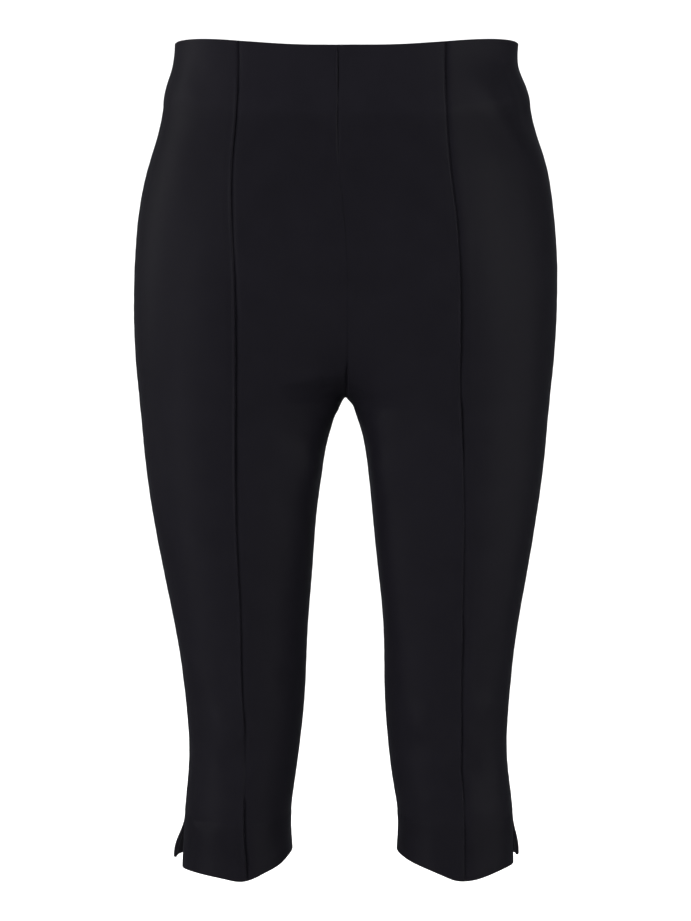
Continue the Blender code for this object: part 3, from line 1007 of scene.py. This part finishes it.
class Finish:
    """The nodes of one material."""

    def __init__(self, name):
        self.material = bpy.data.materials.new(name)
        self.material.use_nodes = True
        self.tree = self.material.node_tree
        self.shader = self.tree.nodes["Principled BSDF"]

    def node(self, kind, settings=None, sockets=None, output=0):
        """A new node's output, from the node's type, its settings and its sockets' values."""
        made = self.tree.nodes.new(kind)
        for key, value in (settings or {}).items():
            setattr(made, key, value)
        self.feed(made, sockets or {})
        return Wire(self, made.outputs[output])

    def feed(self, made, sockets):
        for key, value in sockets.items():
            if isinstance(value, Wire):
                self.tree.links.new(value.socket, made.inputs[key])
            else:
                made.inputs[key].default_value = value

    def mix(self, share, first, second):
        """A colour between two, by a share."""
        sockets = {0: share, 6: first, 7: second}
        return self.node("ShaderNodeMix", {"data_type": "RGBA"}, sockets, 2)

    def noise(self, place, scale, detail=2.0, roughness=0.5):
        sockets = {"Vector": place, "Scale": scale, "Detail": detail, "Roughness": roughness}
        return self.node("ShaderNodeTexNoise", {}, sockets)


def plain(colour):
    return (*colour[:3], 1.0)


def cloth_finish(look):
    """Stretch cloth with fine ribs across it: yarns, fuzz, faint mottling, pressed edges, and
    painted shade and light.
    """
    cloth = Finish("black_stretch_cloth")
    place = cloth.node("ShaderNodeUVMap", {"uv_map": "cloth"})
    parts = cloth.node("ShaderNodeSeparateXYZ", {}, {0: place}, "X")
    across, down = parts, parts.out("Y")
    along = cloth.node("ShaderNodeMapping", {}, {"Vector": place, "Scale": (0.22, 1.0, 1.0)})
    uneven = cloth.noise(along, scale=420.0)
    rib_at = down / look.rib_pitch + uneven * 0.35
    rib = (rib_at * np.pi).math("SINE").math("ABSOLUTE")
    half_turn = rib_at.math("FLOOR") * 0.5
    yarn = ((across / look.yarn_pitch + half_turn) * np.pi).math("SINE").math("ABSOLUTE")
    fuzz = cloth.noise(place, scale=2600.0, detail=3.0, roughness=0.6)
    weave = rib * 0.55 + rib * yarn * 0.45
    height = weave + fuzz * 0.35 + uneven * 0.3
    mottle = cloth.noise(place, scale=38.0, detail=3.0, roughness=0.55)
    worn = cloth.noise(place, scale=11.0)
    inside, pressed, faced = (
        cloth.node("ShaderNodeAttribute", {"attribute_name": name}, {}, "Fac")
        for name in ("inside", "pressed", "faced")
    )
    light = tuple(min(1.0, c * 1.5) for c in look.colour)
    dark = tuple(c * 0.62 for c in look.colour)
    # Painted shade: the furrows between ribs and yarns are darker and their tops lighter. Painted
    # light over the facing, and random mottling.
    share = weave * 0.6 + mottle * 0.3 + worn * 0.2 + faced * 0.14 - 0.12
    outside = cloth.mix(share, plain(dark), plain(light))
    # Painted light: the back of the cloth shows lighter than its own near-black, with random
    # lighter fuzz.
    inside_painted_light = cloth.mix(fuzz * 0.8, plain(look.inside_colour_with_painted_light), plain(light))
    colour = cloth.mix(inside, outside, inside_painted_light)
    roughness = look.roughness + (mottle - 0.5) * 0.10 + fuzz * 0.05 - pressed * 0.07
    bump = cloth.node(
        "ShaderNodeBump", {}, {"Strength": 0.8, "Distance": look.rib_depth, "Height": height}
    )
    cloth.feed(
        cloth.shader,
        {
            "Base Color": colour,
            "Roughness": roughness,
            "Normal": bump,
            "Specular IOR Level": look.gloss,
            "Sheen Weight": look.sheen,
            "Sheen Roughness": 0.3,
            "Sheen Tint": (0.85, 0.87, 1.0, 1.0),
        },
    )
    return cloth.material


def thread_finish(look):
    """Polyester sewing thread with a fine twist."""
    thread = Finish("black_sewing_thread")
    place = thread.node("ShaderNodeTexCoord", {}, {}, "Object")
    fuzz = thread.noise(place, scale=3800.0)
    twist = thread.node(
        "ShaderNodeTexWave",
        {"wave_type": "BANDS", "bands_direction": "DIAGONAL"},
        {"Vector": place, "Scale": 2600.0, "Distortion": 2.0},
        "Fac",
    )
    base = tuple(c * 1.3 for c in look.colour)
    lit = tuple(min(1.0, c * 2.6) for c in look.colour)
    bump = thread.node(
        "ShaderNodeBump", {}, {"Strength": 0.6, "Distance": 0.00005, "Height": twist + fuzz}
    )
    thread.feed(
        thread.shader,
        {
            "Base Color": thread.mix(fuzz * 0.6, plain(base), plain(lit)),
            "Roughness": 0.5 + fuzz * 0.2,
            "Normal": bump,
            "Specular IOR Level": 0.35,
        },
    )
    return thread.material


def stage_finish(colour):
    """Pale matt paper."""
    stage = Finish("pale_paper")
    place = stage.node("ShaderNodeTexCoord", {}, {}, "Object")
    grain = stage.noise(place, scale=3.0)
    shade = tuple(c * 0.985 for c in colour)
    paper = stage.mix(grain, plain(shade), plain(colour))
    stage.feed(stage.shader, {"Base Color": paper, "Roughness": 0.9, "Specular IOR Level": 0.1})
    return stage.material


class CapriLook(bpy.types.PropertyGroup):
    """The colours and the surface of the cloth."""

    colour: bpy.props.FloatVectorProperty(
        name="Cloth", description="Colour of the outside of the cloth",
        default=(0.0042, 0.0039, 0.0054), size=3, subtype="COLOR", min=0.0, max=1.0,
    )
    # Painted light: the back of the cloth is set over twice as light as the outside, to light up
    # the shaded slit flaps and the inside.
    inside_colour_with_painted_light: bpy.props.FloatVectorProperty(
        name="Inside",
        description="Colour of the back of the cloth, which the facing and the hems show",
        default=(0.0100, 0.0095, 0.0115), size=3, subtype="COLOR", min=0.0, max=1.0,
    )
    roughness: bpy.props.FloatProperty(
        name="Roughness", description="How matt the cloth is",
        default=0.43, subtype="FACTOR", min=0.0, max=1.0,
    )
    gloss: bpy.props.FloatProperty(
        name="Gloss", description="How much light the yarns mirror",
        default=0.04, subtype="FACTOR", min=0.0, max=1.0,
    )
    sheen: bpy.props.FloatProperty(
        name="Sheen", description="The soft light on the fibre ends, seen from the side",
        default=0.03, subtype="FACTOR", min=0.0, max=1.0,
    )
    rib_pitch: bpy.props.FloatProperty(
        name="Rib pitch", description="Distance between the fine ribs across the cloth",
        default=0.00055, unit="LENGTH", min=0.0002, max=0.003, precision=5,
    )
    yarn_pitch: bpy.props.FloatProperty(
        name="Yarn pitch", description="Distance between the yarns along the cloth",
        default=0.00042, unit="LENGTH", min=0.0002, max=0.003, precision=5,
    )
    rib_depth: bpy.props.FloatProperty(
        name="Rib depth", description="How deep the furrows between the ribs are",
        default=0.00004, unit="LENGTH", min=0.0, max=0.0005, precision=5,
    )


class CapriSewing(bpy.types.PropertyGroup):
    """The sizes of what is sewn, and how much it shows."""

    cloth: bpy.props.FloatProperty(
        name="Cloth thickness", description="Thickness of one layer of the cloth",
        default=0.0011, unit="LENGTH", min=0.0004, max=0.002, precision=4,
    )
    facing_show: bpy.props.FloatProperty(
        name="Facing step", description="How far the waist facing lifts the cloth over it",
        default=0.00045, unit="LENGTH", min=0.0, max=0.002, precision=4,
    )
    hem_show: bpy.props.FloatProperty(
        name="Hem step", description="How far the turned-up hem lifts the cloth over it",
        default=0.00030, unit="LENGTH", min=0.0, max=0.002, precision=4,
    )
    seam_depth: bpy.props.FloatProperty(
        name="Seam depth", description="How strongly the seams show on the outside",
        default=1.0, subtype="FACTOR", min=0.0, max=2.0,
    )
    crease_depth: bpy.props.FloatProperty(
        name="Crease depth", description="How strongly the small creases and swells show",
        default=1.0, subtype="FACTOR", min=0.0, max=2.0,
    )
    thread: bpy.props.FloatProperty(
        name="Thread", description="Thickness of the overlocking thread inside",
        default=0.00035, unit="LENGTH", min=0.0001, max=0.001, precision=5,
    )
    stitch: bpy.props.FloatProperty(
        name="Stitch length", description="Length of the overlocking stitches inside",
        default=0.0024, unit="LENGTH", min=0.001, max=0.006, precision=4,
    )


class CapriStage(bpy.types.PropertyGroup):
    """The plain studio."""

    floor: bpy.props.FloatVectorProperty(
        name="Floor", description="Colour of the floor and the backdrop",
        default=(0.93, 0.93, 0.93), size=3, subtype="COLOR", min=0.0, max=1.0,
    )
    floor_drop: bpy.props.FloatProperty(
        name="Floor drop", description="How far the floor is below the waist",
        default=1.05, unit="LENGTH", min=0.8, max=2.0,
    )
    right: bpy.props.FloatProperty(
        name="Right light", description="Power of the soft lights on the wearer's right",
        default=15.0, unit="POWER", min=0.0,
    )
    left: bpy.props.FloatProperty(
        name="Left light", description="Power of the soft lights on the wearer's left",
        default=29.0, unit="POWER", min=0.0,
    )
    front: bpy.props.FloatProperty(
        name="Front light", description="Power of the soft lights that no gloss mirrors, in front",
        default=70.0, unit="POWER", min=0.0,
    )
    back: bpy.props.FloatProperty(
        name="Back light", description="Power of the soft light high behind",
        default=50.0, unit="POWER", min=0.0,
    )
    backdrop: bpy.props.FloatProperty(
        name="Backdrop light", description="Power of the light that whitens the backdrop",
        default=70.0, unit="POWER", min=0.0,
    )


Sizes = namedtuple("Sizes", "cloth crease_depth seam_depth facing_show hem_show")


def cleared(name):
    """The name of a piece, free for a new one."""
    old = bpy.data.objects.get(name)
    if old is not None:
        bpy.data.objects.remove(old)
    return name


def shared(make, name, look):
    """A finish that the pieces share, made only once."""
    return bpy.data.materials.get(name) or make(look)


def sew_panels(context, kind):
    """The panels of one kind on both legs, with the thread over their raw edges."""
    look, sewing = context.scene.capri_look, context.scene.capri_sewing
    cloth = shared(cloth_finish, "black_stretch_cloth", look)
    thread = shared(thread_finish, "black_sewing_thread", look)
    sizes = Sizes(
        sewing.cloth,
        sewing.crease_depth,
        sewing.seam_depth,
        sewing.facing_show / MM,
        sewing.hem_show / MM,
    )
    piece = PIECES[kind]
    for side, leg in LEGS.items():
        sheet = panel_sheet(leg, piece, sizes)
        panel = sheet_object(cleared(f"{kind}_panel_{side}"), sheet, leg.sign, cloth)
        lines = overlocking(sheet, sewing.stitch / MM)
        name = cleared(f"overlocking_{kind}_{side}")
        edging = thread_object(name, lines, sewing.thread, thread)
        for made in (panel, edging):
            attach(made, "root")
        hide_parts(f"{kind}_{side}")


class CAPRI_OT_front_panels(bpy.types.Operator):
    """Sew the two front panels, from the centre front seam to the long front seams"""

    bl_idname = "capri.front_panels"
    bl_label = "Front Panels"
    bl_options = {"REGISTER", "UNDO"}

    def execute(self, context):
        sew_panels(context, "front")
        return {"FINISHED"}


class CAPRI_OT_side_panels(bpy.types.Operator):
    """Sew the two side panels, from the long front seams to the side seams"""

    bl_idname = "capri.side_panels"
    bl_label = "Side Panels"
    bl_options = {"REGISTER", "UNDO"}

    def execute(self, context):
        sew_panels(context, "side")
        return {"FINISHED"}


class CAPRI_OT_back_panels(bpy.types.Operator):
    """Sew the two back panels, from the side seams to the centre back seam and the inseams"""

    bl_idname = "capri.back_panels"
    bl_label = "Back Panels"
    bl_options = {"REGISTER", "UNDO"}

    def execute(self, context):
        sew_panels(context, "back")
        return {"FINISHED"}


# The stage, in metres and degrees.
FLOOR_SIZE = 12.0
FLOOR_BEHIND = 1.0  # how far behind the pants the floor's middle is
BACKDROP_HEIGHT = 6.0
SWEEP = 2.5  # radius of the bend between floor and backdrop
CAMERA_PLACE = Vector((0.0, -2.3, -0.2))
CAMERA_AIM = Vector((0.0, 0.0, -0.3524))
CAMERA_LENS = 105.77  # millimetres, for a frame 36 mm wide
BACKDROP_LIGHT = Vector((0.0, 3.2, 3.6)), Vector((0.0, 5.0, -0.6)), (5.0, 2.0)
LIT_MIDDLE = Vector((0.0, 0.0, -0.35))  # where the soft lights point
LIGHT_AWAY = 2.6
LIGHT_SIZE = (0.9, 1.8)

# The soft lights round the pants: how far each is turned from the front to the wearer's left and
# how far up, which of the stage's powers it shares, and whether the gloss of the cloth mirrors it.
LIGHTS = table(
    "name turn climb power share mirrored",
    ("right_light", -70, 0, "right", 1, True),
    ("right_back_light", -110, 18, "right", 0.7, True),
    ("left_light", 60, 10, "left", 1, True),
    ("left_back_light", 91, 0, "left", 0.37, True),
    ("right_front_light", -50, 1, "front", 1, False),
    ("left_side_light", 70, 0, "front", 0.19, False),
    ("high_light", -6, 26, "front", 0.28, False),
    ("back_light", 168, 42, "back", 1, False),
)


def light_place(turn, climb):
    """Where a soft light stands, from how far it is turned and how far up it is."""
    turn, climb = np.radians((turn, climb))
    flat = np.cos(climb)
    away = LIGHT_AWAY * np.array([flat * np.sin(turn), -flat * np.cos(turn), np.sin(climb)])
    return LIT_MIDDLE + Vector(away)


def aimed(place, aim):
    """The settings of a light or a camera that stands at one place and points at another."""
    return {"location": place, "rotation": (aim - place).to_track_quat("-Z", "Y").to_euler()}


def area_light(name, place, aim, size, power):
    bpy.ops.object.light_add(type="AREA", **aimed(place, aim))
    made = bpy.context.object
    made.name = cleared(name)
    made.data.shape = "RECTANGLE"
    made.data.size, made.data.size_y = size
    made.data.energy = power
    return made


def make_floor(stage):
    """A floor that sweeps up into a backdrop."""
    name = cleared("studio_floor")
    bpy.ops.object.select_all(action="DESELECT")
    middle = (0.0, FLOOR_BEHIND, -stage.floor_drop)
    bpy.ops.mesh.primitive_plane_add(size=FLOOR_SIZE, location=middle)
    floor = bpy.context.object
    floor.name = name
    bpy.ops.object.transform_apply(location=True, rotation=True, scale=True)
    bpy.ops.object.mode_set(mode="EDIT")
    bpy.ops.mesh.select_all(action="DESELECT")
    bpy.ops.object.mode_set(mode="OBJECT")
    mesh = floor.data
    for vertex in mesh.vertices:
        vertex.select = vertex.co.y > FLOOR_BEHIND
    for edge in mesh.edges:
        edge.select = all(mesh.vertices[i].select for i in edge.vertices)
    bpy.ops.object.mode_set(mode="EDIT")
    bpy.ops.mesh.select_mode(type="EDGE")
    up = (0.0, 0.0, BACKDROP_HEIGHT)
    bpy.ops.mesh.extrude_region_move(TRANSFORM_OT_translate={"value": up})
    bpy.ops.object.mode_set(mode="OBJECT")
    bend = floor.modifiers.new("sweep", "BEVEL")
    bend.width, bend.segments, bend.limit_method = SWEEP, 24, "ANGLE"
    bpy.ops.object.modifier_apply(modifier=bend.name)
    bpy.ops.object.shade_smooth()
    floor.visible_glossy = False
    floor.data.materials.append(stage_finish(stage.floor))


def make_camera():
    """A long lens in front of the hips, tilted a little down."""
    bpy.ops.object.camera_add(**aimed(CAMERA_PLACE, CAMERA_AIM))
    camera = bpy.context.object
    camera.name = "camera"
    camera.data.sensor_width = 36.0
    camera.data.lens = CAMERA_LENS
    camera.data.clip_end = 100.0
    bpy.context.scene.camera = camera


class CAPRI_OT_stage(bpy.types.Operator):
    """Set up the plain floor, the soft lights and the camera"""

    bl_idname = "capri.stage"
    bl_label = "Stage"
    bl_options = {"REGISTER", "UNDO"}

    def execute(self, context):
        stage = context.scene.capri_stage
        make_floor(stage)
        for row in LIGHTS:
            place = light_place(row.turn, row.climb)
            power = getattr(stage, row.power) * row.share
            light = area_light(row.name, place, LIT_MIDDLE, LIGHT_SIZE, power)
            light.visible_glossy = row.mirrored
        area_light("backdrop_light", *BACKDROP_LIGHT, stage.backdrop)
        world = context.scene.world or bpy.data.worlds.new("studio")
        context.scene.world = world
        world.use_nodes = True
        background = world.node_tree.nodes["Background"]
        background.inputs["Color"].default_value = (1.0, 1.0, 1.0, 1.0)
        background.inputs["Strength"].default_value = 1.0
        world.cycles_visibility.glossy = False
        context.scene.view_settings.view_transform = "Standard"
        make_camera()
        return {"FINISHED"}


class CAPRI_PT_pants(bpy.types.Panel):
    """Sizes, colours and steps of the capri pants"""

    bl_idname = "CAPRI_PT_pants"
    bl_label = "Capri Pants"
    bl_space_type = "VIEW_3D"
    bl_region_type = "UI"
    bl_category = "Capri Pants"

    def draw(self, context):
        for label, name in (("Cloth", "look"), ("Sewing", "sewing"), ("Stage", "stage")):
            group = getattr(context.scene, f"capri_{name}")
            box = self.layout.box()
            box.label(text=label)
            for setting in group.__annotations__:
                box.prop(group, setting)
        column = self.layout.column(align=True)
        for operator in STEPS:
            column.operator(operator.bl_idname)


STEPS = (CAPRI_OT_front_panels, CAPRI_OT_side_panels, CAPRI_OT_back_panels, CAPRI_OT_stage)
GROUPS = {"capri_look": CapriLook, "capri_sewing": CapriSewing, "capri_stage": CapriStage}


def register():
    for kind in (*GROUPS.values(), *STEPS, CAPRI_PT_pants):
        bpy.utils.register_class(kind)
    for name, group in GROUPS.items():
        setattr(bpy.types.Scene, name, bpy.props.PointerProperty(type=group))


def unregister():
    for name in GROUPS:
        delattr(bpy.types.Scene, name)
    for kind in (CAPRI_PT_pants, *STEPS[::-1], *GROUPS.values()):
        bpy.utils.unregister_class(kind)


def main():
    register()
    bpy.ops.capri.front_panels()
    bpy.ops.capri.side_panels()
    bpy.ops.capri.back_panels()
    bpy.ops.capri.stage()


if __name__ == "__main__":
    main()
